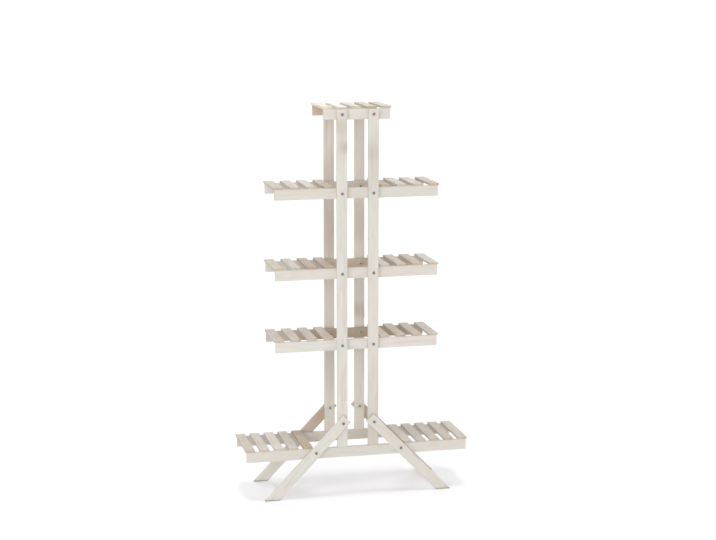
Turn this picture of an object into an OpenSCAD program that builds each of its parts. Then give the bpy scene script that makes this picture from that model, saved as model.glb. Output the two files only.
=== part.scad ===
// Tiered plant stand: five slatted tiers bolted to four slim posts, on four splayed legs.
// It stands on z = 0 and is centred left to right (X) and front to back (Y). Millimetres.
// Tier 1 is the top one and tier 5 the bottom one.

/* [Boards] */
// Width of the post, rail and leg boards
board_w = 38; // [30:1:46]
// Thickness of the post, rail and leg boards
board_t = 13; // [10:0.5:18]
// Width of the flat planed along each long edge of these boards
board_ease = 1.2; // [0.4:0.1:2]

/* [Slats] */
// Width of one slat
slat_w = 35; // [26:1:40]
// Thickness of one slat
slat_t = 8; // [5:0.5:12]
// Width of the flat planed along each long edge of a slat
slat_ease = 0.8; // [0.3:0.1:1.5]
// How far the outermost slat stands out past the end of its rails
slat_tip = 4; // [0:0.5:10]
// Number of slats on the top tier
top_slats = 5; // [3:1:5]
// Number of slats on each side of a middle tier
mid_slats = 4; // [2:1:4]
// Number of slats on each side of the bottom tier
low_slats = 5; // [3:1:5]
// Bare width between a post and the nearest slat on the middle tiers
mid_slat_clear = 9; // [4:0.5:16]
// Bare width between a post and the nearest slat on the bottom tier
low_slat_clear = 92; // [60:1:110]

/* [Tiers] */
// Height of the whole stand
stand_h = 1419; // [1390:1:1500]
// Depth over the rails of the four upper tiers
shelf_d = 206; // [170:1:260]
// Length of the top tier's rails
top_rail_l = 242; // [220:1:320]
// Length of the three middle tiers' rails
mid_rail_l = 598; // [520:1:700]
// Length of the bottom tier's rails
low_rail_l = 822; // [720:1:900]
// Height of the bottom rails' underside over the floor
low_rail_z = 144; // [130:1:160]
// Rise from the bottom tier to the fourth
rise_to_fourth = 397; // [350:1:420]
// Rise from the fourth tier to the third
rise_to_third = 262; // [210:1:300]
// Rise from the third tier to the second
rise_to_second = 289; // [210:1:320]

/* [Posts and legs] */
// Bare width between the left and the right posts
post_space = 77; // [60:1:100]
// Lean of a leg, counted up from the floor in degrees
leg_angle = 46; // [42:0.5:50]
// Rise of a leg's upper bolt over the post's foot
leg_bolt_rise = 91; // [80:1:110]
// Drop of a leg's lower bolt below the post's foot
leg_bolt_drop = 13.5; // [12:0.5:20]
// Length of a leg past its upper bolt
leg_end = 22; // [14:0.5:32]

/* [Bolts] */
// Diameter of a bolt's shank
bolt_d = 6; // [5:0.5:6.5]
// Clearance on diameter between a bolt and the boards and washers round it
bolt_fit = 0.4; // [0.2:0.1:1]
// Clearance on diameter between a bolt and its nut
nut_fit = 0.1; // [0.05:0.05:0.2]
// Length of shank that shows past the nut
bolt_past_nut = 1; // [0.5:0.1:4]
// Diameter of a bolt's domed head
head_d = 10.5; // [9.5:0.5:12]
// Height of a bolt's domed head
head_h = 3.3; // [2.8:0.1:5]
// Height of the upright rim under the dome of the head
head_rim = 0.6; // [0.3:0.1:1]
// Diameter of the flat on top of the dome
head_top_d = 5.6; // [5.2:0.1:7]
// Width across the flats of the hexagon socket in the head
socket_w = 4; // [3:0.5:4]
// Depth of the hexagon socket in the head
socket_depth = 2; // [1:0.1:2.2]
// Outer diameter of a washer
washer_d = 12; // [11:0.5:18]
// Thickness of a washer
washer_t = 1.6; // [1:0.1:2]
// Width across the flats of a nut
nut_w = 10; // [9:0.5:11]
// Height of a nut
nut_h = 5; // [4:0.1:6]

/* [Hidden] */
$fn = 48;
whitewash = "#DCD7CC"; // posts, rails and legs
whitewash_slat = "#CFC8BA"; // slats, seen from above
zinc_dark = "#6E6B66"; // bolts
zinc_bright = "#A9A9A6"; // washers and nuts
hole_over = 1; // how far a cutter runs past each face it opens
dome_steps = 5; // bands in the dome of a bolt's head
corner_cut_angle = 30; // slope of the turned corners of a nut

// Faces, counted outwards from the middle of the stand
rail_face = shelf_d / 2; // outer face of the upper rails, inner face of the posts
post_face = rail_face + board_t; // outer face of the posts and the bottom rails
leg_face = post_face + board_t; // outer face of the legs
post_x = (post_space + board_w) / 2; // centre line of a post
post_side = post_x + board_w / 2; // outer edge of a post

// Per tier, top to bottom: underside of the rails, their length, their outer face, the bare
// width beside a post and the number of slats, which is counted per side below the top tier
fourth_z = low_rail_z + rise_to_fourth;
third_z = fourth_z + rise_to_third;
second_z = third_z + rise_to_second;
top_z = stand_h - slat_t - board_w;
tier_z = [top_z, second_z, third_z, fourth_z, low_rail_z];
tier_l = [top_rail_l, mid_rail_l, mid_rail_l, mid_rail_l, low_rail_l];
tier_face = [rail_face, rail_face, rail_face, rail_face, post_face];
tier_clear = [0, mid_slat_clear, mid_slat_clear, mid_slat_clear, low_slat_clear];
tier_slats = [top_slats, mid_slats, mid_slats, mid_slats, low_slats];
bottom = len(tier_z) - 1; // index of the bottom tier

// A post stands on the bottom rail and ends level with the top rail's upper edge
post_foot_z = low_rail_z + board_w;
post_l = top_z + board_w - post_foot_z;

// The leg's lower bolt lies on the leg's centre line and in the bottom rail
leg_bolt_z = post_foot_z + leg_bolt_rise;
leg_low_z = post_foot_z - leg_bolt_drop;
leg_low_x = post_x + (leg_bolt_z - leg_low_z) / tan(leg_angle);
leg_run = leg_bolt_z / sin(leg_angle) + board_w; // length below the upper bolt, before the foot's cut

hole_d = bolt_d + bolt_fit;
stack_t = 2 * board_t; // every bolt clamps two boards
shank_l = washer_t + stack_t + washer_t + nut_h + bolt_past_nut;

// Left or right is given by the sign of x, front or back by the sign of y
SIDES = [["left", -1], ["right", 1]];
ENDS = [["front", -1], ["back", 1]];

// n places at even steps from a to b
function spread(a, b, n) = [for (i = [0 : n - 1]) a + (b - a) * i / (n - 1)];

// Distance of tier t's outermost slat from the middle, and of the slat next to a post
function outer_slat(t) = tier_l[t] / 2 + slat_tip - slat_w / 2;
function inner_slat(t) = post_side + tier_clear[t] + slat_w / 2;

// One entry for each slat: name, centre line, tier. A side's slats are counted from the outside in
top_row = spread(-outer_slat(0), outer_slat(0), top_slats);
SLATS = concat(
    [for (i = [0 : top_slats - 1]) [str("slat_1_", i + 1), top_row[i], 0]],
    [for (t = [1 : bottom]) for (s = SIDES) for (i = [0 : tier_slats[t] - 1])
        [str("slat_", t + 1, "_", s[0], "_", i + 1),
            s[1] * spread(outer_slat(t), inner_slat(t), tier_slats[t])[i], t]]
);

// One entry for each post and leg: end and side of the stand, and for each rail: name, tier, end
CORNERS = [for (e = ENDS) for (s = SIDES) [str(e[0], "_", s[0]), s[1], e[1]]];
RAILS = [for (t = [0 : bottom]) for (e = ENDS) [str("rail_", t + 1, "_", e[0]), t, e[1]]];

// One entry for each bolt on the front: x, z and the face that its head sits on
BOLTS = concat(
    [for (t = [0 : bottom - 1]) for (s = SIDES) [s[1] * post_x, tier_z[t] + board_w / 2, post_face]],
    [for (s = SIDES) [s[1] * post_x, leg_bolt_z, leg_face]],
    [for (s = SIDES) [s[1] * leg_low_x, leg_low_z, leg_face]]
);

// Board standing on its end: width along X about 0, thickness along Y from 0, planed edges
module eased_board(l, w, t, ease) {
    half = w / 2;
    linear_extrude(height = l)
        polygon([
            [-half + ease, 0], [half - ease, 0], [half, ease], [half, t - ease],
            [half - ease, t], [-half + ease, t], [-half, t - ease], [-half, ease]
        ]);
}

// Hole for a bolt through one board, whose outer face lies at y = 0
module bolt_hole(x, z) {
    translate([x, -hole_over, z])
        rotate([-90, 0, 0])
            cylinder(d = hole_d, h = board_t + 2 * hole_over);
}

// Lays a piece drawn for the front right, with its outer face at y = 0, in its own corner
module to_corner(side, end, face) {
    mirror([side < 0 ? 1 : 0, 0, 0])
        mirror([0, end > 0 ? 1 : 0, 0])
            translate([0, -face, 0])
                children();
}

module post(side, end) {
    color(whitewash)
        to_corner(side, end, post_face)
            difference() {
                translate([post_x, 0, post_foot_z])
                    eased_board(post_l, board_w, board_t, board_ease);
                for (t = [0 : bottom - 1]) bolt_hole(post_x, tier_z[t] + board_w / 2);
                bolt_hole(post_x, leg_bolt_z);
            }
}

module rail(tier, end) {
    bolt_x = tier == bottom ? leg_low_x : post_x;
    bolt_z = tier == bottom ? leg_low_z : tier_z[tier] + board_w / 2;
    color(whitewash)
        to_corner(1, end, tier_face[tier])
            difference() {
                translate([-tier_l[tier] / 2, 0, tier_z[tier] + board_w / 2])
                    rotate([0, 90, 0])
                        eased_board(tier_l[tier], board_w, board_t, board_ease);
                for (s = SIDES) bolt_hole(s[1] * bolt_x, bolt_z);
            }
}

// Leg lapped on the outside of its post and of the bottom rail, with its foot cut level
module leg(side, end) {
    color(whitewash)
        to_corner(side, end, leg_face)
            difference() {
                translate([post_x, 0, leg_bolt_z])
                    rotate([0, leg_angle - 90, 0])
                        translate([0, 0, -leg_run])
                            eased_board(leg_run + leg_end, board_w, board_t, board_ease);
                translate([0, -hole_over, -2 * board_w])
                    cube([low_rail_l, board_t + 2 * hole_over, 2 * board_w]);
                bolt_hole(post_x, leg_bolt_z);
                bolt_hole(leg_low_x, leg_low_z);
            }
}

// Slat across both rails of its tier, its ends flush with the rails' outer faces
module slat(x, tier) {
    color(whitewash_slat)
        translate([x, -tier_face[tier], tier_z[tier] + board_w + slat_t])
            rotate([-90, 0, 0])
                eased_board(2 * tier_face[tier], slat_w, slat_t, slat_ease);
}

// Repeats its child at each bolt, front and back: z = 0 on the outer face, +Z outwards
module at_bolts() {
    for (e = ENDS) for (b = BOLTS)
        mirror([0, e[1] > 0 ? 1 : 0, 0])
            translate([b[0], -b[2], b[1]])
                rotate([90, 0, 0])
                    children();
}

// Prism with a hexagon outline, w across its flats
module hexagon(w, h) {
    cylinder(d = w / cos(30), h = h, $fn = 6);
}

module bolt() {
    translate([0, 0, washer_t])
        difference() {
            union() {
                translate([0, 0, -shank_l])
                    cylinder(d = bolt_d, h = shank_l);
                rotate_extrude()
                    polygon(concat(
                        [[0, 0], [head_d / 2, 0]],
                        [for (i = [0 : dome_steps])
                            let (a = 90 * i / dome_steps)
                            [head_top_d / 2 + (head_d - head_top_d) / 2 * cos(a),
                                head_rim + (head_h - head_rim) * sin(a)]],
                        [[0, head_h]]
                    ));
            }
            translate([0, 0, head_h - socket_depth])
                hexagon(socket_w, socket_depth + hole_over);
        }
}

module washer() {
    difference() {
        cylinder(d = washer_d, h = washer_t);
        translate([0, 0, -hole_over])
            cylinder(d = hole_d, h = washer_t + 2 * hole_over);
    }
}

// Hexagon nut with turned corners on both faces
module nut() {
    corner_r = nut_w / cos(30) / 2;
    corner_h = (corner_r - nut_w / 2) * tan(corner_cut_angle);
    difference() {
        intersection() {
            hexagon(nut_w, nut_h);
            rotate_extrude()
                polygon([
                    [0, 0], [nut_w / 2, 0], [corner_r, corner_h],
                    [corner_r, nut_h - corner_h], [nut_w / 2, nut_h], [0, nut_h]
                ]);
        }
        translate([0, 0, -hole_over])
            cylinder(d = bolt_d + nut_fit, h = nut_h + 2 * hole_over);
    }
}

module bolts() {
    color(zinc_dark) at_bolts() bolt();
}

// One washer under each head and one under each nut
module washers() {
    color(zinc_bright) at_bolts() {
        washer();
        translate([0, 0, -stack_t - washer_t])
            washer();
    }
}

module nuts() {
    color(zinc_bright)
        at_bolts()
            translate([0, 0, -stack_t - washer_t - nut_h])
                nut();
}

for (c = CORNERS) post(c[1], c[2]);
for (r = RAILS) rail(r[1], r[2]);
for (c = CORNERS) leg(c[1], c[2]);
for (s = SLATS) slat(s[1], s[2]);
bolts();
washers();
nuts();
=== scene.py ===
import math

import bpy
import numpy as np
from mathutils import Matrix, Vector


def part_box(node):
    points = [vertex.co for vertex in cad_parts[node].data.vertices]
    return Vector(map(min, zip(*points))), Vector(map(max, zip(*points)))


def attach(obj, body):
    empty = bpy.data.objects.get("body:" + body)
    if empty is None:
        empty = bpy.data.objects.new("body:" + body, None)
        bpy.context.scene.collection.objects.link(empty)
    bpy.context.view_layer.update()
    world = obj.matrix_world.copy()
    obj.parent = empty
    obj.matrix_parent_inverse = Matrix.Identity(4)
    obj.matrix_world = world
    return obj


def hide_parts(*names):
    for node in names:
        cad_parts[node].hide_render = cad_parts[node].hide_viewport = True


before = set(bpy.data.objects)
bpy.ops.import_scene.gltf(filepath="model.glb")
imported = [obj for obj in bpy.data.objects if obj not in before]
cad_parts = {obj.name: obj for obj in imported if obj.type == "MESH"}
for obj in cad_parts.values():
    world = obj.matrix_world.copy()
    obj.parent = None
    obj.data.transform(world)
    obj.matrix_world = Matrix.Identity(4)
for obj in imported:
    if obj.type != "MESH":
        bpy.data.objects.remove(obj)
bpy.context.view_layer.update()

rng = np.random.default_rng(1419)  # one seed, so that each run draws the same dents and grain
mm = 0.001  # metres
sharpAngle = math.radians(40)  # an edge that turns by more than this stays sharp
tierCount = 5
sides = (("left", -1), ("right", 1))  # names and signs along X
ends = (("front", -1), ("back", 1))  # and along Y
print("frame loaded:", len(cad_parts), "nodes")

# the photograph's standpoint: in front, to the left, and a little above the top tier
view = dict(
    place=(-1.3298, -5.7618, 1.8643),  # metres
    turn=13.254,  # degrees to the right of straight ahead
    tip=10.066,  # degrees downwards
    lens=82.656,  # mm
    sensor=36,  # mm wide
    farthest=3000,  # metres, past the floor's corners
)
lensData = bpy.data.cameras.new("studioCamera")
lensData.lens = view["lens"]
lensData.sensor_width = view["sensor"]
lensData.clip_end = view["farthest"]
studioCamera = bpy.data.objects.new("studioCamera", lensData)
studioCamera.location = view["place"]
studioCamera.rotation_euler = (math.radians(90 - view["tip"]), 0, math.radians(-view["turn"]))
bpy.context.scene.collection.objects.link(studioCamera)
bpy.context.scene.camera = studioCamera


def hexToLinear(code):
    # sRGB hex to linear light, by the sRGB curve, with full alpha
    srgb = np.array([int(code[i:i + 2], 16) for i in (1, 3, 5)]) / 255
    linear = np.where(srgb <= 0.04045, srgb / 12.92, ((srgb + 0.055) / 1.055) ** 2.4)
    return (*linear.tolist(), 1.0)


def addNode(tree, kind, settings, inputs):
    # one node with its settings; an input given as another node's socket is linked, any other is set.
    # Inputs go by name, or by number where a node has several of one name: a colour mix takes its share
    # on 0 and its colours on 6 and 7, a range its value on 0, the span it reads on 1 and 2, and what
    # it gives on 3 and 4
    node = tree.nodes.new(kind)
    for name, value in settings.items():
        setattr(node, name, value)
    for socket, value in inputs.items():
        if isinstance(value, bpy.types.NodeSocket):
            tree.links.new(value, node.inputs[socket])
        else:
            node.inputs[socket].default_value = value
    return node


# sawn softwood under a thin matt whitewash; sizes in millimetres, colours as the bare wood and the
# unbroken wash reflect them
pineLook = dict(
    ringGap=3.4,
    ringBend=7.0,
    ringDetail=2.0,
    ringDetailScale=0.16,
    ringStretch=0.22,  # a step along the trunk counts this much, so that their bends are drawn out
    ringSwirl=9.0,  # how far a knot pushes them aside, in radians of their wave
    patterns=dict(  # size across, size along and detail
        fibre=(0.7, 26, 4.0),  # bundles of fibres, drawn a little coarse so that they show
        streak=(7, 420, 3.0),  # brush strokes
        patch=(45, 240, 2.0),  # where the wash dried thick or thin
        tint=(60, 330, 1.0),  # where the wood below shows pink
        smear=(9, 75, 2.0),  # where it was wiped off again
    ),
    lateBand=(0.45, 0.95),  # the part of each pattern's range over which it comes in
    patchBand=(0.35, 0.65),
    tintBand=(0.45, 0.70),
    smearBand=(0.48, 0.72),
    knotCell=(80, 80, 280),  # a cell of this size holds one knot or none
    knotShare=0.22,  # share of the cells that hold one
    knotScatter=0.8,
    knotShape=(1, 0.25, 0.7),  # how much a step across, through and along counts: a branch runs through
    knotLeast=0.7,  # size of the smallest against the radii below; the largest is 1 more
    knotRim=(4, 7),  # radii between which a knot ends
    knotPush=(5, 30),  # and those between which it stops pushing the rings aside
    earlywood="#B8A48A",
    latewood="#A69176",
    knotHeart="#77593F",
    washCream="#CECDC8",
    washCool="#C9CCC8",
    washRose="#D0C9C4",
    washWarm="#AF9D89",
    cover=0.80,  # share of the wood that the wash hides, and what each pattern adds or takes
    streakCover=0.25,
    fibreCover=0.12,
    lateCover=-0.05,
    knotCover=-0.30,
    smearCover=-0.18,
    wearCover=-0.12,
    footShade=0.0,  # painted contact shadow where a board stands on the floor
    footHigh=6,  # how far up it reaches, and by how much that varies
    footUneven=6,
    fibreRelief=0.55,  # shares of the relief
    lateRelief=0.10,
    streakRelief=0.60,
    relief=0.5,  # how strongly it shows
    reliefHigh=0.4,
    roughness=0.70,
    roughSpread=0.08,
    roughBand=(0.2, 0.8),
    ior=1.48,
)


def washedPine(name, look):
    # whitewashed pine: brush streaks along the board and soft patches of tint, with growth rings and
    # knots faint below them; dull, since the wash has no gloss of its own
    material = bpy.data.materials.new(name)
    material.use_nodes = True
    tree = material.node_tree
    tree.nodes.clear()
    timber = addNode(tree, "ShaderNodeAttribute", {"attribute_name": "timber"}, {}).outputs["Vector"]
    castVector = addNode(tree, "ShaderNodeAttribute", {"attribute_name": "cast"}, {}).outputs["Vector"]
    cast = addNode(tree, "ShaderNodeSeparateXYZ", {}, {0: castVector}).outputs

    grain = {}
    for part, (across, along, detail) in look["patterns"].items():
        stretched = addNode(tree, "ShaderNodeVectorMath", {"operation": "MULTIPLY"},
                            {0: timber, 1: (1 / (across * mm), 1 / (across * mm), 1 / (along * mm))})
        noise = addNode(tree, "ShaderNodeTexNoise", {},
                        {"Vector": stretched.outputs[0], "Scale": 1.0, "Detail": detail})
        grain[part] = noise.outputs["Fac"]

    # knots: one heart in some cells of a coarse lattice, and the distance from it in metres
    cell = np.array(look["knotCell"]) * mm
    lattice = addNode(tree, "ShaderNodeVectorMath", {"operation": "DIVIDE"}, {0: timber, 1: cell})
    hearts = addNode(tree, "ShaderNodeTexVoronoi", {},
                     {"Vector": lattice.outputs[0], "Scale": 1.0, "Randomness": look["knotScatter"]})
    fromHeart = addNode(tree, "ShaderNodeVectorMath", {"operation": "SUBTRACT"},
                        {0: lattice.outputs[0], 1: hearts.outputs["Position"]})
    fromHeart = addNode(tree, "ShaderNodeVectorMath", {"operation": "MULTIPLY"},
                        {0: fromHeart.outputs[0], 1: cell * look["knotShape"]})
    gap = addNode(tree, "ShaderNodeVectorMath", {"operation": "LENGTH"}, {0: fromHeart.outputs[0]})
    chance = addNode(tree, "ShaderNodeSeparateColor", {}, {0: hearts.outputs["Color"]}).outputs
    present = addNode(tree, "ShaderNodeMath", {"operation": "LESS_THAN"},
                      {0: chance[0], 1: look["knotShare"]})
    spread = addNode(tree, "ShaderNodeMath", {"operation": "ADD"}, {0: chance[1], 1: look["knotLeast"]})
    gap = addNode(tree, "ShaderNodeMath", {"operation": "DIVIDE"},
                  {0: gap.outputs["Value"], 1: spread.outputs[0]})
    knot = addNode(tree, "ShaderNodeMapRange", {"interpolation_type": "SMOOTHSTEP"},
                   {0: gap.outputs[0], 1: look["knotRim"][0] * mm, 2: look["knotRim"][1] * mm,
                    3: present.outputs[0], 4: 0.0}).outputs[0]
    bend = addNode(tree, "ShaderNodeMapRange", {"interpolation_type": "SMOOTHSTEP"},
                   {0: gap.outputs[0], 1: look["knotPush"][0] * mm, 2: look["knotPush"][1] * mm,
                    3: present.outputs[0], 4: 0.0}).outputs[0]

    # growth rings round the pith, which lies on the timber attribute's own long axis
    swirl = addNode(tree, "ShaderNodeMath", {"operation": "MULTIPLY"}, {0: bend, 1: look["ringSwirl"]})
    drawnOut = addNode(tree, "ShaderNodeVectorMath", {"operation": "MULTIPLY"},
                       {0: timber, 1: (1, 1, look["ringStretch"])})
    ownGap = math.tau / 20  # how far apart the wave texture's rings lie at scale 1
    rings = addNode(tree, "ShaderNodeTexWave",
                    {"wave_type": "RINGS", "rings_direction": "Z", "wave_profile": "SAW"},
                    {"Vector": drawnOut.outputs[0], "Scale": ownGap / (look["ringGap"] * mm),
                     "Distortion": look["ringBend"], "Detail": look["ringDetail"],
                     "Detail Scale": look["ringDetailScale"], "Phase Offset": swirl.outputs[0]})
    late = addNode(tree, "ShaderNodeMapRange", {"interpolation_type": "SMOOTHSTEP"},
                   {0: rings.outputs["Fac"], 1: look["lateBand"][0], 2: look["lateBand"][1]}).outputs[0]

    # the wood's colour by ring and knot, then the wash's: cooler where it is thick, pink in places, and
    # warmer by the board's own warmth
    wood = addNode(tree, "ShaderNodeMix", {"data_type": "RGBA"},
                   {0: late, 6: hexToLinear(look["earlywood"]), 7: hexToLinear(look["latewood"])})
    wood = addNode(tree, "ShaderNodeMix", {"data_type": "RGBA"},
                   {0: knot, 6: wood.outputs[2], 7: hexToLinear(look["knotHeart"])})
    thick = addNode(tree, "ShaderNodeMapRange", {},
                    {0: grain["patch"], 1: look["patchBand"][0], 2: look["patchBand"][1]})
    rose = addNode(tree, "ShaderNodeMapRange", {},
                   {0: grain["tint"], 1: look["tintBand"][0], 2: look["tintBand"][1]})
    wash = addNode(tree, "ShaderNodeMix", {"data_type": "RGBA"},
                   {0: thick.outputs[0], 6: hexToLinear(look["washCream"]),
                    7: hexToLinear(look["washCool"])})
    wash = addNode(tree, "ShaderNodeMix", {"data_type": "RGBA"},
                   {0: rose.outputs[0], 6: wash.outputs[2], 7: hexToLinear(look["washRose"])})
    wash = addNode(tree, "ShaderNodeMix", {"data_type": "RGBA"},
                   {0: cast["Y"], 6: wash.outputs[2], 7: hexToLinear(look["washWarm"])})

    # how much of the wood is hidden: each pattern adds its share to the cover, or takes it off. Streaks
    # and fibres add half of theirs on average, and the start is lower by that much
    wiped = addNode(tree, "ShaderNodeMapRange", {"interpolation_type": "SMOOTHSTEP"},
                    {0: grain["smear"], 1: look["smearBand"][0], 2: look["smearBand"][1]}).outputs[0]
    worn = addNode(tree, "ShaderNodeMath", {"operation": "MULTIPLY"}, {0: cast["Z"], 1: grain["smear"]})
    cover = look["cover"] - 0.5 * (look["streakCover"] + look["fibreCover"])
    for source, share in ((grain["streak"], look["streakCover"]), (grain["fibre"], look["fibreCover"]),
                          (late, look["lateCover"]), (knot, look["knotCover"]),
                          (wiped, look["smearCover"]), (worn.outputs[0], look["wearCover"])):
        cover = addNode(tree, "ShaderNodeMath", {"operation": "MULTIPLY_ADD", "use_clamp": share < 0},
                        {0: source, 1: share, 2: cover}).outputs[0]
    colour = addNode(tree, "ShaderNodeMix", {"data_type": "RGBA"},
                     {0: cover, 6: wood.outputs[2], 7: wash.outputs[2]})

    # painted contact shadow where a foot stands on the floor, reaching further up in some streaks than in
    # others
    place = addNode(tree, "ShaderNodeTexCoord", {}, {}).outputs["Object"]
    height = addNode(tree, "ShaderNodeSeparateXYZ", {}, {0: place}).outputs["Z"]
    height = addNode(tree, "ShaderNodeMath", {"operation": "MULTIPLY_ADD"},
                     {0: grain["streak"], 1: look["footUneven"] * mm, 2: height}).outputs[0]
    low = 0.5 * look["footUneven"]
    foot = addNode(tree, "ShaderNodeMapRange", {"interpolation_type": "SMOOTHSTEP"},
                   {0: height, 1: low * mm, 2: (low + look["footHigh"]) * mm,
                    3: 1 - look["footShade"], 4: 1.0}).outputs[0]
    dimmed = addNode(tree, "ShaderNodeMath", {"operation": "MULTIPLY"}, {0: cast["X"], 1: foot})
    tone = addNode(tree, "ShaderNodeVectorMath", {"operation": "SCALE"},
                   {0: colour.outputs[2], "Scale": dimmed.outputs[0]})

    # raised fibres and rings, and brush marks
    relief = 0.0
    for source, share in ((grain["fibre"], look["fibreRelief"]), (late, look["lateRelief"]),
                          (grain["streak"], look["streakRelief"])):
        relief = addNode(tree, "ShaderNodeMath", {"operation": "MULTIPLY_ADD"},
                         {0: source, 1: share, 2: relief}).outputs[0]
    bump = addNode(tree, "ShaderNodeBump", {},
                   {"Strength": look["relief"], "Distance": look["reliefHigh"] * mm, "Height": relief})
    rough = addNode(tree, "ShaderNodeMapRange", {},
                    {0: grain["fibre"], 1: look["roughBand"][0], 2: look["roughBand"][1],
                     3: look["roughness"] - look["roughSpread"],
                     4: look["roughness"] + look["roughSpread"]})
    shader = addNode(tree, "ShaderNodeBsdfPrincipled", {},
                     {"Base Color": tone.outputs[0], "Roughness": rough.outputs[0],
                      "Normal": bump.outputs[0], "IOR": look["ior"], "Metallic": 0.0})
    addNode(tree, "ShaderNodeOutputMaterial", {}, {0: shader.outputs[0]})
    return material


# what all boards have in common, whichever piece they are
sawnLook = dict(
    cornerPoints=4,  # on each eased corner of the profile
    flatShares=(0.06, 0.35, 0.65, 0.94),  # where the points on a flat lie
    dentPlaces=(0.03, 0.97),  # shares of the length between which dents lie
    dentLong=(1.2, 4),  # mm to each side
    dentDeep=(0.15, 0.6),  # shares of the look's own dent
    dentRound=2.8 * mm,  # reach round the arris
    waveRates=(9.0, 23.0, 61.0),  # radians per metre of length
    waveSkew=60,  # and per metre of width, one way for the slowest and the other for the fastest
    slantStart=50 * mm,  # before the far end, where a slant sets in
    slantOver=45 * mm,  # length over which it comes in
    grainLean=0.02,  # how far at most the grain runs off, for each metre of board
    pithFrom=(-45, 20),  # mm across and through the board, on either side, where its tree's pith lies
    pithTo=(45, 60),
    trunkLong=40,  # metres of trunk that the boards are cut from
    arrisWorn=1.6,  # how far in from an arris the wear reaches, in radii of its easing
    seenFade=0.1,  # share of the thickness over which a mark on one face fades
    stainAndShadowFade=0.2,  # share of its reach over which a stain or painted shadow fades
)


def fullTurn(count):
    # the angles of count equal steps round a circle, in radians
    return np.arange(count) * 2 * np.pi / count


def boardProfile(width, thick, ease):
    # a rectangle with quarter-circle corners of radius ease, and a few points on each flat between them;
    # gives the points and their outward normals
    half = np.array([width / 2 - ease, thick / 2 - ease])
    quarter = np.linspace(0, 90, sawnLook["cornerPoints"])
    angle = np.radians(np.arange(4)[:, None] * 90 + quarter[None, :])
    turn = np.stack([np.cos(angle), np.sin(angle)], axis=-1)
    corner = np.array([[1, 1], [-1, 1], [-1, -1], [1, -1]]) * half
    arcs = corner[:, None, :] + turn * ease
    start, stop = arcs[:, -1:, :], np.roll(arcs, -1, axis=0)[:, :1, :]
    along = np.array(sawnLook["flatShares"])[None, :, None]
    points = np.concatenate([arcs, start + (stop - start) * along], axis=1).reshape(-1, 2)
    flatTurn = np.repeat(turn[:, -1:, :], along.shape[1], axis=1)
    normals = np.concatenate([turn, flatTurn], axis=1).reshape(-1, 2)
    return points, normals


def sweepBoard(size, look, shear=0.0):
    # the profile carried along the board from 0 to its length: its ends are eased by a quarter circle,
    # its faces sink by a slow wave, and dents fall off as a bell curve along and round an arris;
    # shear slants the far end, by that many metres of length for each metre across
    width, thick, length = size
    ease = look["ease"]
    points, normals = boardProfile(width, thick, ease)
    dentCount = max(2, int(length * look["dentsPerMetre"]))
    dentAt = rng.uniform(*sawnLook["dentPlaces"], dentCount) * length
    dentLong = rng.uniform(*sawnLook["dentLong"], dentCount) * mm
    dentDeep = rng.uniform(*sawnLook["dentDeep"], dentCount) * look["dent"]
    dentCorner = rng.integers(0, 4, dentCount)
    around = dentAt[:, None] + dentLong[:, None] * np.array([-2, -1, 0, 1, 2])[None, :]
    even = np.linspace(ease, length - ease, max(4, int(length / look["step"])))
    step = np.concatenate([even, around.ravel()])
    step = np.unique(np.round(step[(step >= ease) & (step <= length - ease)], 5))
    quarter = np.radians(np.linspace(90, 0, sawnLook["cornerPoints"]))
    nearEnd, narrowed = ease * (1 - np.sin(quarter)), ease * (1 - np.cos(quarter))
    rings = np.concatenate([nearEnd[:-1], step, length - nearEnd[::-1][1:]])
    inset = np.concatenate([narrowed[:-1], np.zeros(len(step)), narrowed[::-1][1:]])
    rates = sawnLook["waveRates"]
    phase = rng.uniform(0, 2 * np.pi, (len(rates), 4))  # the first two of each four are used
    wave = sum(np.sin(rings[:, None] * rate + points[None, :, 0] * sawnLook["waveSkew"] * (n - 1)
                      + phase[n, 0] + np.sign(points[None, :, 1]) * phase[n, 1])
               for n, rate in enumerate(rates)) / len(rates)
    sink = look["wave"] * (0.5 + 0.5 * wave)
    dentPlace = np.array([[1, 1], [-1, 1], [-1, -1], [1, -1]])[dentCorner] * [width / 2, thick / 2]
    roundGap = np.linalg.norm(points[None, :, :] - dentPlace[:, None, :], axis=2)
    dents = (dentDeep[:, None, None]
             * np.exp(-((rings[None, :, None] - dentAt[:, None, None]) / dentLong[:, None, None]) ** 2)
             * np.exp(-(roundGap[:, None, :] / sawnLook["dentRound"]) ** 2)).sum(axis=0)
    inward = inset[:, None] + sink + dents
    across = points[None, :, 0] - normals[None, :, 0] * inward
    deep = points[None, :, 1] - normals[None, :, 1] * inward
    slant = np.clip((rings - length + sawnLook["slantStart"]) / sawnLook["slantOver"], 0, 1)
    grid = np.stack([across, deep, rings[:, None] + shear * across * slant[:, None]], axis=-1)

    # each end is closed by a smaller ring and a middle point
    ringCount, pointCount = grid.shape[:2]
    middle = grid[[0, -1]].mean(axis=1, keepdims=True)
    caps = (grid[[0, -1]] + middle) / 2
    rows = np.concatenate([caps[:1], grid, caps[1:]])
    vertices = np.concatenate([rows.reshape(-1, 3), middle[:, 0]])
    index = np.arange((ringCount + 2) * pointCount).reshape(ringCount + 2, pointCount)
    nextOne = np.roll(index, -1, axis=1)
    quads = np.stack([index[:-1], nextOne[:-1], nextOne[1:], index[1:]], axis=-1).reshape(-1, 4)
    tips = np.full((2, pointCount), len(vertices) - 2) + [[0], [1]]
    fans = np.concatenate([np.stack([nextOne[0], index[0], tips[0]], axis=-1),
                           np.stack([index[-1], nextOne[-1], tips[1]], axis=-1)])
    return vertices, quads.tolist() + fans.tolist()


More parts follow.
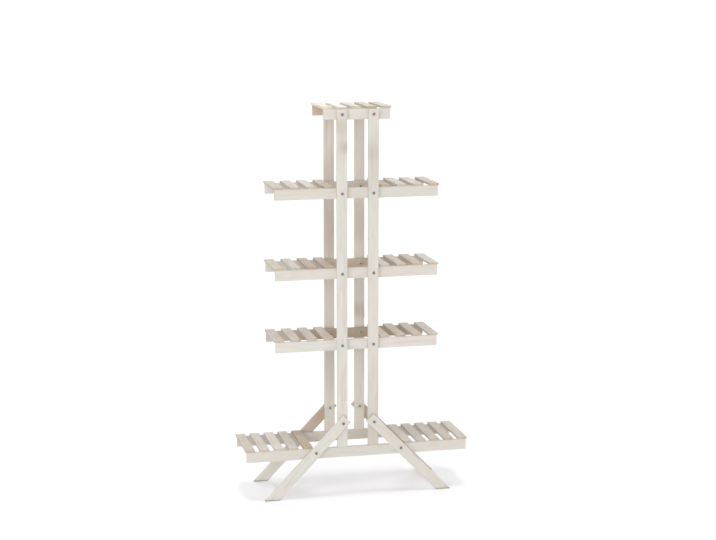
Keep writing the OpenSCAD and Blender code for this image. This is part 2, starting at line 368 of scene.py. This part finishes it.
def meshObject(name, vertices, faces):
    # a mesh from arrays, smooth but for its sharp edges. Its faces are turned over if the volume that
    # they enclose comes out negative, each counted by its first three corners and its last
    corner = [vertices[[face[k] for face in faces]] for k in (0, 1, 2, -1)]
    volume = ((np.cross(corner[0], corner[1]) * corner[2]).sum()
              + (np.cross(corner[0], corner[2]) * corner[3]).sum())
    if volume < 0:
        faces = [face[::-1] for face in faces]
    mesh = bpy.data.meshes.new(name)
    mesh.from_pydata(vertices.tolist(), [], faces)
    mesh.shade_smooth()
    mesh.set_sharp_from_angle(angle=sharpAngle)
    piece = bpy.data.objects.new(name, mesh)
    bpy.context.scene.collection.objects.link(piece)
    return piece


def drillBores(piece, spots, width):
    # cuts a round bore along Y through the board at each spot: a cylinder of two rings is taken off it
    count = boltLook["boreSides"]
    angle = fullTurn(count)
    ring = np.stack([np.cos(angle), np.zeros(count), np.sin(angle)], axis=-1) * width / 2
    reach = np.array([[0, -boltLook["boreReach"], 0], [0, boltLook["boreReach"], 0]])
    vertices = np.array(spots)[:, None, None, :] + reach[None, :, None, :] + ring[None, None, :, :]
    faces = []
    for base in range(0, len(spots) * 2 * count, 2 * count):
        near, far = np.arange(count) + base, np.arange(count) + base + count
        walls = np.stack([near, far, np.roll(far, -1), np.roll(near, -1)], axis=-1)
        faces += [near.tolist(), far[::-1].tolist()] + walls.tolist()
    cutter = meshObject("cutter", vertices.reshape(-1, 3), faces)
    modifier = piece.modifiers.new("bores", "BOOLEAN")
    modifier.operation = "DIFFERENCE"
    modifier.solver = "EXACT"
    modifier.object = cutter
    drilled = bpy.data.meshes.new_from_object(piece.evaluated_get(bpy.context.evaluated_depsgraph_get()))
    piece.modifiers.clear()
    whole, piece.data = piece.data, drilled
    cutterMesh = cutter.data
    bpy.data.objects.remove(cutter)
    bpy.data.meshes.remove(cutterMesh)
    bpy.data.meshes.remove(whole)
    drilled.shade_smooth()
    drilled.set_sharp_from_angle(angle=sharpAngle)


def dressBoard(piece, origin, axes, size, look, material, node):
    # timber: where each point lay in the tree it was cut from, with the pith on the long axis.
    # cast: the board's own tone with painted light and shade for single boards, darker on its sawn edges,
    # where thinner wash and painted shade meet; its warmth, more on end grain; and its worn arrises. A
    # stain or painted shadow is full within its reach and fades by an S-curve along the board, and across
    # it evenly away from one edge, or not at all. Where the look says so, these marks are full on the
    # face to the front and fade by an S-curve through the thickness
    mesh = piece.data
    place = np.zeros(len(mesh.vertices) * 3)
    mesh.vertices.foreach_get("co", place)
    local = (place.reshape(-1, 3) - origin) @ np.linalg.inv(axes)
    across, deep, along = local.T
    grainLean = rng.uniform(-sawnLook["grainLean"], sawnLook["grainLean"], 2)
    pith = rng.uniform(sawnLook["pithFrom"], sawnLook["pithTo"]) * [1, rng.choice([-1, 1])] * mm
    timber = np.stack([across + pith[0] + along * grainLean[0], deep + pith[1] + along * grainLean[1],
                       along + rng.uniform(0, sawnLook["trunkLong"])], axis=-1)
    mesh.attributes.new("timber", "FLOAT_VECTOR", "POINT").data.foreach_set("vector", timber.ravel())
    ease = look["ease"]
    sawn = np.clip((abs(across) - size[0] / 2) / ease + 1, 0, 1)
    fromArris = np.maximum(size[0] / 2 - abs(across), size[1] / 2 - abs(deep))
    arris = np.clip(1 - fromArris / (sawnLook["arrisWorn"] * ease), 0, 1)
    tip = np.clip(1 - np.minimum(along, size[2] - along) / ease, 0, 1)
    seen = 1 / (1 + np.exp(deep / (sawnLook["seenFade"] * size[1]))) if look["oneFace"] else 1
    tone = rng.normal(look["tone"], look["toneSpread"]) + look["lighter"].get(node, 0) * seen
    # sawn edges darker: thinner wash, and painted shade, most on the slats
    tone = tone * (1 - look["edgeShade"] * sawn)
    warmth = rng.normal(look["warmth"], look["warmthSpread"]) + look["warmer"].get(node, 0) * seen
    warmth = warmth + look["endWarmth"] * tip
    for warm, dark, where, reach, edge in look["stainsAndShadows"].get(node, ()):
        past = (abs(along - where * size[2]) - reach) / (sawnLook["stainAndShadowFade"] * reach)
        share = 1 / (1 + np.exp(np.clip(past, -30, 30)))  # the clip keeps the power from overflowing
        share = share * seen * (1 - (abs(edge) - edge * 2 * across / size[0]) / 2)
        tone = tone * (1 - dark * share)
        warmth = warmth + warm * share
    cast = np.stack([tone, np.clip(warmth, 0, 1), np.maximum(arris, tip)], axis=-1)
    mesh.attributes.new("cast", "FLOAT_VECTOR", "POINT").data.foreach_set("vector", cast.ravel())
    mesh.materials.clear()
    mesh.materials.append(material)
    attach(piece, "root")
    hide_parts(node)


def makeBoard(node, axes, look, material, bores=()):
    # a straight board that fills its CAD node's box; axes are across, through and along it
    low, high = (np.array(corner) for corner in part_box(node))
    axes = np.array(axes, float)
    size = np.abs((high - low) @ axes.T)
    origin = (low + high) / 2 - axes[2] * size[2] / 2
    vertices, faces = sweepBoard(size, look)
    piece = meshObject(node.replace("_", "."), vertices @ axes + origin, faces)
    if bores:
        drillBores(piece, bores, boltLook["bore"])
    dressBoard(piece, origin, axes, size, look, material, node)


# the axes across, through and along a board, by the way it runs
upright = ((1, 0, 0), (0, 1, 0), (0, 0, 1))
crosswise = ((0, 0, 1), (0, 1, 0), (1, 0, 0))
depthwise = ((1, 0, 0), (0, 0, 1), (0, 1, 0))

# button-head bolts with hex sockets, M6, and their washers and nuts: the CAD model's own sizes
boltLook = dict(
    bore=6.4 * mm,
    boreSides=28,
    boreReach=12 * mm,  # of the drill, to each side of the board's middle
    sides=24,  # points round the bolt
    shank=3 * mm,  # radius
    tipIn=0.9 * mm,  # by how much the flat tip's radius is smaller
    tipEdge=0.1 * mm,
    plainFrom=4.2 * mm,  # the tip's distance from where the shank is plain
    past=1 * mm,  # shank past the nut
    pitch=1 * mm,
    threadDeep=0.55 * mm,
    threadFrom=0.6,  # pitches from the tip
    threadTo=4.0,
    threadStep=0.125,
    neck=0.1 * mm,  # fillet between shank and head
    head=5.25 * mm,  # radius
    headHigh=3.3 * mm,
    headEdge=0.15 * mm,
    headRim=0.6 * mm,
    headFlat=2.8 * mm,  # radius of the dome's flat top
    domeRows=7,
    socket=2 * mm,  # half the width across its flats
    socketDeep=2 * mm,
    socketEdge=0.12 * mm,
    socketPoint=0.3 * mm,  # how much deeper the middle is
    socketPointWide=0.4,  # its radius as a share of the socket's
    zinc="#807B74",
    zincWorn="#8E8982",
    grime="#3A332D",
    roughness=0.42,
)
washerLook = dict(
    sides=32,
    outer=6 * mm,
    inner=3.2 * mm,
    thick=1.6 * mm,
    ease=0.25 * mm,
    cornerPoints=3,
    zinc="#D3D2CF",
    zincWorn="#DDDCD9",
    grime="#8E867C",
    roughness=0.45,
)
nutLook = dict(
    sides=36,
    flat=5 * mm,  # half the width across its flats
    inner=3.05 * mm,
    innerEdge=0.4 * mm,
    high=5 * mm,
    cone=30,  # degrees, of the cone that turns its corners off
    shoulder=0.95,  # share of the half width at which the cone begins
    zinc="#A5A4A1",
    zincWorn="#B5B4B1",
    grime="#5C5650",
    roughness=0.38,
)

# where the bolts go, worked out from the boards' boxes
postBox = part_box("post_front_right")
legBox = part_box("leg_front_right")
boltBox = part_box("bolts")
boardWide = postBox[1].x - postBox[0].x
boardThick = postBox[1].y - postBox[0].y
postX = (postBox[0].x + postBox[1].x) / 2
postFace, legFace = -postBox[0].y, -legBox[0].y
tierZ = [sum(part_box(f"rail_{t + 1}_front")[k].z for k in (0, 1)) / 2 for t in range(tierCount)]
lowBolt = (boltBox[1].x - boltLook["head"], boltBox[0].z + boltLook["head"])
# a leg's lean: the one at which a board of this width, cut square above and level below, fills the box,
# found among trials half a thousandth of a degree apart
trial = np.radians(np.linspace(40, 52, 24001))
spanX = (np.sin(trial) + 1 / np.sin(trial)) * boardWide / 2
spanX += (legBox[1].z - np.cos(trial) * boardWide / 2) / np.tan(trial)
lean = trial[np.abs(spanX - (legBox[1].x - legBox[0].x)).argmin()]
legTop = np.array([legBox[0].x + math.sin(lean) * boardWide / 2,
                   legBox[1].z - math.cos(lean) * boardWide / 2])
highBolt = (postX, legTop[1] - (postX - legTop[0]) * math.tan(lean))
print("leg lean", round(math.degrees(lean), 3), "leg bolts at", highBolt, lowBolt)

frameLook = dict(
    ease=1.3 * mm,  # radius of its softened edges
    step=15 * mm,  # between the rings of points
    dentsPerMetre=9,
    dent=0.9 * mm,
    wave=0.12 * mm,  # how deep a face sinks at most by the slow wave
    tone=1.0,  # brightness, and how much it varies from board to board
    toneSpread=0.006,
    edgeShade=0.05,  # darkening of the sawn edges: thinner wash there, and painted shade
    warmth=0.10,  # share of the warm wash, and how much it varies
    warmthSpread=0.08,
    oneFace=True,  # lighter, warmer and the stains and painted shadows hold for the face to the front only
    # added to the tone and warmth of single boards: partly their own tone, partly painted light and
    # shade, the back posts lighter and the back rails warmer where they lie in shade
    lighter=dict(leg_back_left=0.01, leg_front_left=0.01, leg_front_right=-0.02,
                 post_back_left=0.03, post_back_right=0.06, post_front_right=-0.02,
                 rail_1_back=0.09, rail_2_back=0.03, rail_2_front=0.02,
                 rail_3_back=0.03, rail_3_front=0.02, rail_4_back=-0.02),
    warmer=dict(leg_back_left=-0.1, leg_back_right=0.4, leg_front_left=-0.04,
                post_back_left=0.1, post_front_left=-0.1, rail_1_back=0.3, rail_2_front=-0.06,
                rail_3_back=0.1, rail_3_front=-0.06, rail_4_back=0.4, rail_5_back=0.25),
    endWarmth=0.35,  # added on end grain
    # stains and painted shadows: painted shadows on the back posts, the top of the back left leg and the
    # left end of the top back rail, painted shade in the middles of the back rails, and patches on the
    # front posts. For each: how warm, how dark, where along the board from 0 (a post's foot, a rail's
    # left, a leg's top, a slat's front) to 1, its reach to each side, and the edge where it is strongest
    # (-1 or 1) or 0
    stainsAndShadows=dict(
        post_front_left=[(0.20, 0.08, 0.95, 25 * mm, 0), (0.04, 0.05, 0.90, 60 * mm, 0),
                         (0.45, 0.16, 0.890, 18 * mm, 1), (-0.10, 0.00, 0.25, 330 * mm, 0)],
        post_front_right=[(0.38, 0.00, 0, 95 * mm, 0), (0.18, 0.01, 0.17, 150 * mm, 0),
                          (0.24, 0.02, 0.84, 100 * mm, 0), (0.12, 0.05, 0.875, 25 * mm, 0)],
        post_back_left=[(0.30, 0.13, 0.62, 85 * mm, 0), (0.16, 0.08, 0.80, 45 * mm, 0),
                        (0.10, 0.09, 0.22, 130 * mm, 0)],
        post_back_right=[(0.22, 0.05, 0.633, 60 * mm, 0), (0.30, 0.15, 0.376, 28 * mm, 0),
                         (0.12, 0.04, 0.45, 55 * mm, 0), (0.25, 0.08, 0.265, 25 * mm, 0)],
        leg_back_left=[(1.00, 0.12, 0, 160 * mm, 0)],
        rail_1_back=[(0.60, 0.02, 0, 40 * mm, 0)],
        rail_2_back=[(0.40, 0.12, 0.6, 190 * mm, 0)],
        rail_3_back=[(0.72, 0.09, 0.6, 190 * mm, 0)],
        rail_4_back=[(0.60, 0.16, 0.6, 210 * mm, 0)],
    ),
)
slatLook = dict(
    ease=0.9 * mm,
    step=12 * mm,
    dentsPerMetre=18,
    dent=0.7 * mm,
    wave=0.1 * mm,
    tone=0.945,
    toneSpread=0.03,
    # the slats' sawn sides darker still: painted shade in the gaps between them
    edgeShade=0.20,
    warmth=0.33,
    warmthSpread=0.18,
    oneFace=False,
    # painted light and shade, added to each slat's tone and warmth: the top tier's slats lighter and
    # cooler, the more so to the left; the inner slats of tiers 2 and 3 darker and warmer in shade, and
    # the left ones of tier 3 and the right ones of tiers 4 and 5 a little darker
    lighter=dict(slat_1_1=0.33, slat_1_2=0.28, slat_1_3=0.16, slat_1_4=0.06, slat_1_5=0.02,
                 slat_2_right_3=-0.02, slat_2_right_4=-0.05,
                 slat_3_left_1=-0.03, slat_3_left_2=-0.03, slat_3_left_3=-0.05, slat_3_left_4=-0.05,
                 slat_4_right_1=-0.04, slat_4_right_2=-0.04, slat_4_right_3=-0.04,
                 slat_5_right_1=-0.04, slat_5_right_2=-0.04, slat_5_right_3=-0.04, slat_5_right_4=-0.04),
    warmer=dict(slat_1_1=-0.25, slat_1_2=-0.25, slat_1_3=-0.25, slat_1_4=-0.1,
                slat_2_right_3=0.15, slat_2_right_4=0.35, slat_3_left_3=0.25, slat_3_left_4=0.4,
                slat_5_left_5=0.25),
    endWarmth=0.10,
    # painted shadow at the far end of the innermost left slat of tier 5, and warmth at its front end
    stainsAndShadows=dict(slat_5_left_5=[(0.40, 0.20, 1, 60 * mm, 0), (0.40, 0.02, 0, 60 * mm, 0)]),
)
postPine = washedPine("whitewashedPinePost", pineLook)
railPine = washedPine("whitewashedPineRail", pineLook | dict(cover=0.82))
# the legs take the painted contact shadow at their feet
legPine = washedPine("whitewashedPineLeg", pineLook | dict(cover=0.81, footShade=0.6))
slatPine = washedPine("whitewashedPineSlat", pineLook | dict(
    latewood="#9D8566", cover=0.77, streakCover=0.30, fibreCover=0.14, lateCover=-0.08, smearCover=-0.45,
    wearCover=-0.40))

for endName, y in ends:
    for sideName, x in sides:
        middle = y * (postFace - boardThick / 2)
        bores = [(x * postX, middle, z) for z in tierZ[:-1] + [highBolt[1]]]
        makeBoard(f"post_{endName}_{sideName}", upright, frameLook, postPine, bores)
print("posts made")

for t in range(tierCount):
    for endName, y in ends:
        low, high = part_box(f"rail_{t + 1}_{endName}")
        spot = (postX, tierZ[t]) if t < tierCount - 1 else lowBolt
        bores = [(x * spot[0], (low.y + high.y) / 2, spot[1]) for _, x in sides]
        makeBoard(f"rail_{t + 1}_{endName}", crosswise, frameLook, railPine, bores)
print("rails made")

slatNodes = [node for node in sorted(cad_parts) if node.startswith("slat_")]
for node in slatNodes:
    makeBoard(node, depthwise, slatLook, slatPine)
print("slats made:", len(slatNodes))

for endName, y in ends:
    for sideName, x in sides:
        node = f"leg_{endName}_{sideName}"
        low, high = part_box(node)
        axes = np.array([[x * math.sin(lean), 0, math.cos(lean)], [0, 1, 0],
                         [x * math.cos(lean), 0, -math.sin(lean)]])
        origin = np.array([x * legTop[0], (low.y + high.y) / 2, legTop[1]])
        size = np.array([boardWide, boardThick, legTop[1] / math.sin(lean)])
        vertices, faces = sweepBoard(size, frameLook, shear=1 / math.tan(lean))
        piece = meshObject(f"leg.{endName}.{sideName}", vertices @ axes + origin, faces)
        bores = [(x * spot[0], origin[1], spot[1]) for spot in (highBolt, lowBolt)]
        drillBores(piece, bores, boltLook["bore"])
        dressBoard(piece, origin, axes, size, frameLook, legPine, node)
print("legs made")


# zinc plate, sizes in millimetres
plateLook = dict(
    cloud=2.2,
    cloudDetail=3.0,
    pit=0.35,
    pitDetail=2.0,
    wornBand=(0.40, 0.65),  # the part of the clouds' or the pits' range over which each comes in
    grimeBand=(0.58, 0.72),
    grimeShare=0.6,
    roughBand=(0.3, 0.7),
    duller=0.12,  # between the clouds, added to the look's own roughness
    smoother=0.06,  # within them, taken off it
    relief=0.3,  # how strongly the pits show
    reliefHigh=0.05,
)


def platedSteel(name, look):
    # steel with a dull zinc plate: cloudy grey, paler and smoother where it is rubbed, grimy in its pits
    material = bpy.data.materials.new(name)
    material.use_nodes = True
    tree = material.node_tree
    tree.nodes.clear()
    place = addNode(tree, "ShaderNodeTexCoord", {}, {}).outputs["Object"]
    cloud = addNode(tree, "ShaderNodeTexNoise", {},
                    {"Vector": place, "Scale": 1 / (plateLook["cloud"] * mm),
                     "Detail": plateLook["cloudDetail"]}).outputs["Fac"]
    pits = addNode(tree, "ShaderNodeTexNoise", {},
                   {"Vector": place, "Scale": 1 / (plateLook["pit"] * mm),
                    "Detail": plateLook["pitDetail"]}).outputs["Fac"]
    worn = addNode(tree, "ShaderNodeMapRange", {},
                   {0: cloud, 1: plateLook["wornBand"][0], 2: plateLook["wornBand"][1]})
    grimy = addNode(tree, "ShaderNodeMapRange", {},
                    {0: pits, 1: plateLook["grimeBand"][0], 2: plateLook["grimeBand"][1],
                     4: plateLook["grimeShare"]})
    colour = addNode(tree, "ShaderNodeMix", {"data_type": "RGBA"},
                     {0: worn.outputs[0], 6: hexToLinear(look["zinc"]), 7: hexToLinear(look["zincWorn"])})
    colour = addNode(tree, "ShaderNodeMix", {"data_type": "RGBA"},
                     {0: grimy.outputs[0], 6: colour.outputs[2], 7: hexToLinear(look["grime"])})
    rough = addNode(tree, "ShaderNodeMapRange", {},
                    {0: cloud, 1: plateLook["roughBand"][0], 2: plateLook["roughBand"][1],
                     3: look["roughness"] + plateLook["duller"],
                     4: look["roughness"] - plateLook["smoother"]})
    bump = addNode(tree, "ShaderNodeBump", {},
                   {"Strength": plateLook["relief"], "Distance": plateLook["reliefHigh"] * mm,
                    "Height": pits})
    shader = addNode(tree, "ShaderNodeBsdfPrincipled", {},
                     {"Base Color": colour.outputs[2], "Metallic": 1.0, "Roughness": rough.outputs[0],
                      "Normal": bump.outputs[0]})
    addNode(tree, "ShaderNodeOutputMaterial", {}, {0: shader.outputs[0]})
    return material


def flatCosine(angle):
    # a hexagon's half width over its radius at each angle: the cosine of the angle from the nearest
    # flat's middle
    return np.cos((angle + np.pi / 6) % (np.pi / 3) - np.pi / 6)


def turnPieces(name, radius, height, spots, hollow, material, slot, *nodes):
    # rings round an axis, each with its radius and height as functions of the angle, joined row to row;
    # a hollow shape joins its last row to its first, any other closes in a point at both ends.
    # The shape is set at each spot: its origin, its outward axis and a turn about that axis
    count = radius.shape[1]
    angle = fullTurn(count)
    shape = np.stack([radius * np.cos(angle), radius * np.sin(angle), height], axis=-1).reshape(-1, 3)
    index = np.arange(len(shape)).reshape(-1, count)
    if hollow:
        index = np.concatenate([index, index[:1]])
    nextOne = np.roll(index, -1, axis=1)
    faces = np.stack([index[:-1], nextOne[:-1], nextOne[1:], index[1:]], axis=-1).reshape(-1, 4).tolist()
    if not hollow:
        shape = np.concatenate([shape, [[0, 0, height[0].mean()], [0, 0, height[-1].mean()]]])
        tips = np.full((2, count), len(shape) - 2) + [[0], [1]]
        faces += np.stack([nextOne[0], index[0], tips[0]], axis=-1).tolist()
        faces += np.stack([index[-1], nextOne[-1], tips[1]], axis=-1).tolist()
    origin, outward, turn = (np.array(part, float) for part in zip(*spots))
    side = np.cross(outward, [[1.0, 0.2, 0.1]])  # a direction that none of the axes has
    side /= np.linalg.norm(side, axis=1, keepdims=True)
    third = np.cross(outward, side)
    across = side * np.cos(turn)[:, None] + third * np.sin(turn)[:, None]
    axes = np.stack([across, np.cross(outward, across), outward], axis=1)
    vertices = np.einsum("vk,skc->svc", shape, axes) + origin[:, None, :]
    allFaces = [[corner + n * len(shape) for corner in face] for n in range(len(spots)) for face in faces]
    piece = meshObject(name, vertices.reshape(-1, 3), allFaces)
    piece.data.materials.append(material)
    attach(piece, "root")
    if nodes:
        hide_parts(*nodes)


# every bolt: where its axis meets the outer board, the way out of the stand, and a turn
boltSpots = []
for _, y in ends:
    for _, x in sides:
        faceSpots = [(postFace, (postX, z)) for z in tierZ[:-1]]
        faceSpots += [(legFace, highBolt), (legFace, lowBolt)]
        for face, spot in faceSpots:
            boltSpots.append(((x * spot[0], y * face, spot[1]), (0, y, 0), rng.uniform(0, math.tau)))
clamped = 2 * boardThick
inward = [tuple(np.array(origin) - np.array(out) * clamped) for origin, out, _ in boltSpots]

# a bolt from its tip to the bottom of its socket: the thread's radius swings between crest and root
# with height and angle, the dome is a stretched quarter circle, the socket's radius follows a hexagon
angle = fullTurn(boltLook["sides"])
hexagon = boltLook["socket"] / flatCosine(angle)
tipDepth = clamped + washerLook["thick"] + nutLook["high"] + boltLook["past"]
shank, head, rim = boltLook["shank"], boltLook["head"], boltLook["headRim"]
seat = washerLook["thick"]  # the head's underside stands on the washer
threadTo = boltLook["threadTo"]
threadAt = np.arange(boltLook["threadFrom"], threadTo, boltLook["threadStep"]) * boltLook["pitch"]
swing = np.abs((threadAt[:, None] / boltLook["pitch"] - angle[None, :] / math.tau) % 1 - 0.5) * 2
swing *= np.clip(threadTo - threadAt / boltLook["pitch"], 0, 1)[:, None]  # it runs out over one pitch
dome = np.radians(np.linspace(0, 90, boltLook["domeRows"])[:-1])
domeRadius = boltLook["headFlat"] + (head - boltLook["headFlat"]) * np.cos(dome)
domeHeight = seat + rim + (boltLook["headHigh"] - rim) * np.sin(dome)
crown = seat + boltLook["headHigh"]
rows = [(shank - boltLook["tipIn"], -tipDepth),
        (shank - boltLook["threadDeep"], -tipDepth + boltLook["tipEdge"])]
rows += [(shank - boltLook["threadDeep"] * depth, -tipDepth + at) for depth, at in zip(swing, threadAt)]
rows += [(shank, -tipDepth + boltLook["plainFrom"]), (shank, seat - boltLook["neck"]),
         (shank + boltLook["neck"], seat), (head - boltLook["headEdge"], seat),
         (head, seat + boltLook["headEdge"])]
rows += list(zip(domeRadius, domeHeight))
rows += [(boltLook["headFlat"], crown), (hexagon + boltLook["socketEdge"], crown),
         (hexagon, crown - boltLook["socketEdge"]), (hexagon, crown - boltLook["socketDeep"]),
         (boltLook["socketPointWide"] * boltLook["socket"],
          crown - boltLook["socketDeep"] - boltLook["socketPoint"])]
boltRadius = np.array([np.broadcast_to(row[0], len(angle)) for row in rows])
boltHeight = np.array([np.broadcast_to(row[1], len(angle)) for row in rows])
darkZinc = platedSteel("dullZincPlatedBolt", boltLook)
washerZinc = platedSteel("brightZincPlatedWasher", washerLook)
nutZinc = platedSteel("zincPlatedNut", nutLook)
turnPieces("bolts", boltRadius, boltHeight, boltSpots, False, darkZinc, "dark_zinc", "bolts")

# a washer's section is a rectangle with four eased corners, carried round the bolt
corners = np.radians(np.linspace(0, 90, washerLook["cornerPoints"]))
easeIn, easeOut = washerLook["inner"] + washerLook["ease"], washerLook["outer"] - washerLook["ease"]
low, high = washerLook["ease"], washerLook["thick"] - washerLook["ease"]
section = [(easeOut, low, -1), (easeOut, high, 0), (easeIn, high, 1), (easeIn, low, 2)]
washerRows = np.array([(across + washerLook["ease"] * math.cos(corner + quarter * math.pi / 2),
                        up + washerLook["ease"] * math.sin(corner + quarter * math.pi / 2))
                       for across, up, quarter in section for corner in corners])
washerSpots = list(boltSpots)
washerSpots += [(place, tuple(-np.array(out)), turn) for place, (_, out, turn) in zip(inward, boltSpots)]
ones = np.ones(washerLook["sides"])
turnPieces("washers", washerRows[:, :1] * ones, washerRows[:, 1:] * ones, washerSpots, True, washerZinc,
           "bright_zinc", "washers")

# a nut's side follows a hexagon, and a cone turns its corners off at both faces
hexagon = nutLook["flat"] / flatCosine(fullTurn(nutLook["sides"]))
shoulder = nutLook["shoulder"] * nutLook["flat"]
drop = (hexagon - shoulder) * math.tan(math.radians(nutLook["cone"]))
inner, edge, high = nutLook["inner"], nutLook["innerEdge"], nutLook["high"]
rows = [(inner, edge), (inner + edge, 0), (shoulder, 0), (hexagon, drop), (hexagon, high - drop),
        (shoulder, high), (inner + edge, high), (inner, high - edge)]
nutRadius = np.array([np.broadcast_to(row[0], len(hexagon)) for row in rows])
nutHeight = np.array([np.broadcast_to(row[1], len(hexagon)) for row in rows])
nutSpots = [(tuple(np.array(place) - np.array(out) * washerLook["thick"]), tuple(-np.array(out)),
             rng.uniform(0, math.tau)) for place, (_, out, _) in zip(inward, boltSpots)]
turnPieces("nuts", nutRadius, nutHeight, nutSpots, True, nutZinc, "bright_zinc", "nuts")

# two nails at each end of a slat, driven flush over the middle of the rail below: a low dome, a rim,
# and a plain shank that ends in a point
nailLook = dict(
    sides=8,
    head=1.5 * mm,  # radius
    neckAt=0.9 * mm,  # depths below the top of the dome
    rimFrom=0.35 * mm,
    rimTo=0.15 * mm,
    domeAt=0.03 * mm,
    domeWide=0.6,  # the dome's radius there, as a share of the head's
    shank=0.8 * mm,  # radius
    long=25 * mm,
    point=2 * mm,  # its length
    pointEnd=0.3 * mm,  # radius
    fromMiddle=9 * mm,  # of the slat's width
    stray=0.8 * mm,  # how far at most it was driven beside its mark
    sunk=0.02 * mm,
    zinc="#8C8A86",
    zincWorn="#A8A6A2",
    grime="#6A5A48",
    roughness=0.5,
)
nailRows = np.array([(nailLook["pointEnd"], -nailLook["long"]),
                     (nailLook["shank"], -nailLook["long"] + nailLook["point"]),
                     (nailLook["shank"], -nailLook["neckAt"]),
                     (nailLook["head"], -nailLook["rimFrom"]),
                     (nailLook["head"], -nailLook["rimTo"]),
                     (nailLook["domeWide"] * nailLook["head"], -nailLook["domeAt"])])
nailSpots = []
for node in slatNodes:
    low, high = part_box(node)
    tier = node.split("_")[1]
    for endName, _ in ends:
        railLow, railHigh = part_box(f"rail_{tier}_{endName}")
        for side in (-1, 1):
            stray = rng.uniform(-1, 1, 2) * nailLook["stray"]
            nailSpots.append((((low.x + high.x) / 2 + side * nailLook["fromMiddle"] + stray[0],
                               (railLow.y + railHigh.y) / 2 + stray[1], high.z - nailLook["sunk"]),
                              (0, 0, 1), rng.uniform(0, math.tau)))
nailZinc = platedSteel("galvanisedNail", nailLook)
ones = np.ones(nailLook["sides"])
turnPieces("nails", nailRows[:, :1] * ones, nailRows[:, 1:] * ones, nailSpots, False, nailZinc,
           "bright_zinc")
print("hardware made:", len(boltSpots), "bolts,", len(nailSpots), "nails")

# a pale matt floor without a seam, which runs to the horizon
floorLook = dict(
    reach=2000,  # metres to each side
    paint="#F5F5F8",
    roughness=0.95,
    shine=0.0,
)
corners = np.array([(-1, -1, 0), (1, -1, 0), (1, 1, 0), (-1, 1, 0)]) * floorLook["reach"]
floorMesh = bpy.data.meshes.new("studioFloor")
floorMesh.from_pydata(corners.tolist(), [], [(0, 1, 2, 3)])
studioFloor = bpy.data.objects.new("studioFloor", floorMesh)
bpy.context.scene.collection.objects.link(studioFloor)
floorPaint = bpy.data.materials.new("paleFloor")
floorPaint.use_nodes = True
floorShader = floorPaint.node_tree.nodes["Principled BSDF"]
floorShader.inputs["Base Color"].default_value = hexToLinear(floorLook["paint"])
floorShader.inputs["Roughness"].default_value = floorLook["roughness"]
floorShader.inputs["Specular IOR Level"].default_value = floorLook["shine"]
floorMesh.materials.append(floorPaint)

# soft light: a broad key from the left of the camera, one panel nearly overhead that draws the shadow
# under the stand, wide low ones on the left, on the right and behind that keep it pale, and a white room
lampLook = dict(
    # where each stands in degrees, up and to the right of the front; strength in watts per square metre
    # over pi; spread in degrees
    key=dict(height=12, right=-30, strength=0.73, spread=60),
    ceiling=dict(height=86, right=-20, strength=0.28, spread=20),
    left=dict(height=18, right=-90, strength=0.20, spread=60),
    right=dict(height=18, right=90, strength=0.38, spread=60),
    back=dict(height=15, right=180, strength=0.77, spread=60),
    room="#FFFFFF",
    roomLow=1.0,  # strength near the horizon, as white as the floor beyond the shadow
    roomHigh=0.32,  # and overhead
    roomBand=(0.06, 0.38),  # sines of the heights between which it dims
)
for name in ("key", "ceiling", "left", "right", "back"):
    look = lampLook[name]
    lamp = bpy.data.lights.new(name + "Light", "SUN")
    lamp.energy = look["strength"] * math.pi
    lamp.angle = math.radians(look["spread"])
    holder = bpy.data.objects.new(name + "Light", lamp)
    holder.rotation_euler = (math.radians(90 - look["height"]), 0, math.radians(look["right"]))
    bpy.context.scene.collection.objects.link(holder)
room = bpy.data.worlds.new("paleRoom")
room.use_nodes = True
outlook = addNode(room.node_tree, "ShaderNodeTexCoord", {}, {}).outputs["Generated"]
outlook = addNode(room.node_tree, "ShaderNodeSeparateXYZ", {}, {0: outlook}).outputs["Z"]
strength = addNode(room.node_tree, "ShaderNodeMapRange", {"interpolation_type": "SMOOTHSTEP"},
                   {0: outlook, 1: lampLook["roomBand"][0], 2: lampLook["roomBand"][1],
                    3: lampLook["roomLow"], 4: lampLook["roomHigh"]})
backdrop = room.node_tree.nodes["Background"]
backdrop.inputs[0].default_value = hexToLinear(lampLook["room"])
room.node_tree.links.new(strength.outputs[0], backdrop.inputs[1])
bpy.context.scene.world = room
bpy.context.scene.view_settings.view_transform = "Standard"
